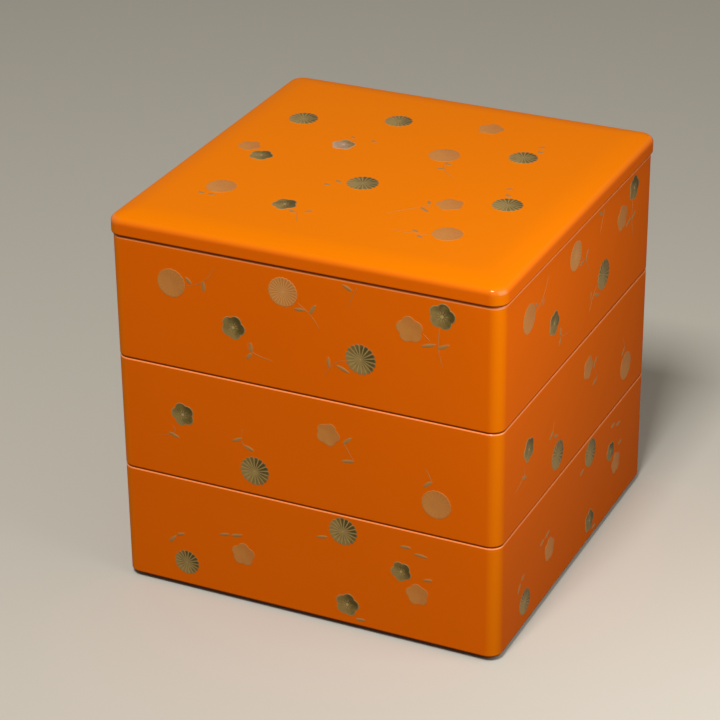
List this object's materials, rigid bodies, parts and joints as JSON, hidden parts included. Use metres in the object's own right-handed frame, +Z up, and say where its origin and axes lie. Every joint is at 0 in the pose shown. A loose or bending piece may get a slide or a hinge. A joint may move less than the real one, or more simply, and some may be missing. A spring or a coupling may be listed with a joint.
{
  "type": "stacking lacquer box",
  "caption": "Square stacking food box: tiers that nest on locating strips under a crowned lid, each a joined wooden carcass with a rebated floor.",
  "frame": {"origin": "middle of the base, at the underside of the lower tier's locating strips", "axes": "+Z up, the lifting way; +X along the front wall to the right; -Y out of the front wall"},
  "size_m": [0.1666, 0.1666, 0.1638],
  "materials": {
    "vermilion_lacquer": "orange vermilion lacquer, semi-gloss, over a joined wooden core",
    "inner_lacquer": "vermilion lacquer, satin, over a wooden board",
    "gold_powder": "dark gold powder decoration, slightly raised",
    "pale_powder": "pale matte gold powder decoration"
  },
  "bodies": {
    "lower_tier": {"lower_floor": "inner_lacquer", "lower_front_wall": "vermilion_lacquer", "lower_right_wall": "vermilion_lacquer", "lower_back_wall": "vermilion_lacquer", "lower_left_wall": "vermilion_lacquer", "lower_front_strip": "vermilion_lacquer", "lower_right_strip": "vermilion_lacquer", "lower_back_strip": "vermilion_lacquer", "lower_left_strip": "vermilion_lacquer"},
    "middle_tier": {"middle_floor": "inner_lacquer", "middle_front_wall": "vermilion_lacquer", "middle_right_wall": "vermilion_lacquer", "middle_back_wall": "vermilion_lacquer", "middle_left_wall": "vermilion_lacquer", "middle_front_strip": "vermilion_lacquer", "middle_right_strip": "vermilion_lacquer", "middle_back_strip": "vermilion_lacquer", "middle_left_strip": "vermilion_lacquer"},
    "upper_tier": {"upper_floor": "inner_lacquer", "upper_front_wall": "vermilion_lacquer", "upper_right_wall": "vermilion_lacquer", "upper_back_wall": "vermilion_lacquer", "upper_left_wall": "vermilion_lacquer", "upper_front_strip": "vermilion_lacquer", "upper_right_strip": "vermilion_lacquer", "upper_back_strip": "vermilion_lacquer", "upper_left_strip": "vermilion_lacquer"},
    "lid": {"lid_board": "vermilion_lacquer", "lid_front_rail": "vermilion_lacquer", "lid_right_rail": "vermilion_lacquer", "lid_back_rail": "vermilion_lacquer", "lid_left_rail": "vermilion_lacquer", "lid_front_strip": "vermilion_lacquer", "lid_right_strip": "vermilion_lacquer", "lid_back_strip": "vermilion_lacquer", "lid_left_strip": "vermilion_lacquer"}
  },
  "joints": [
    {"name": "middle_lift", "type": "slide", "parent": "lower_tier", "child": "middle_tier", "axis": [0, 0, 1], "range_m": [0, 0.08]},
    {"name": "upper_lift", "type": "slide", "parent": "middle_tier", "child": "upper_tier", "axis": [0, 0, 1], "range_m": [0, 0.08]},
    {"name": "lid_lift", "type": "slide", "parent": "upper_tier", "child": "lid", "axis": [0, 0, 1], "range_m": [0, 0.08]}
  ]
}
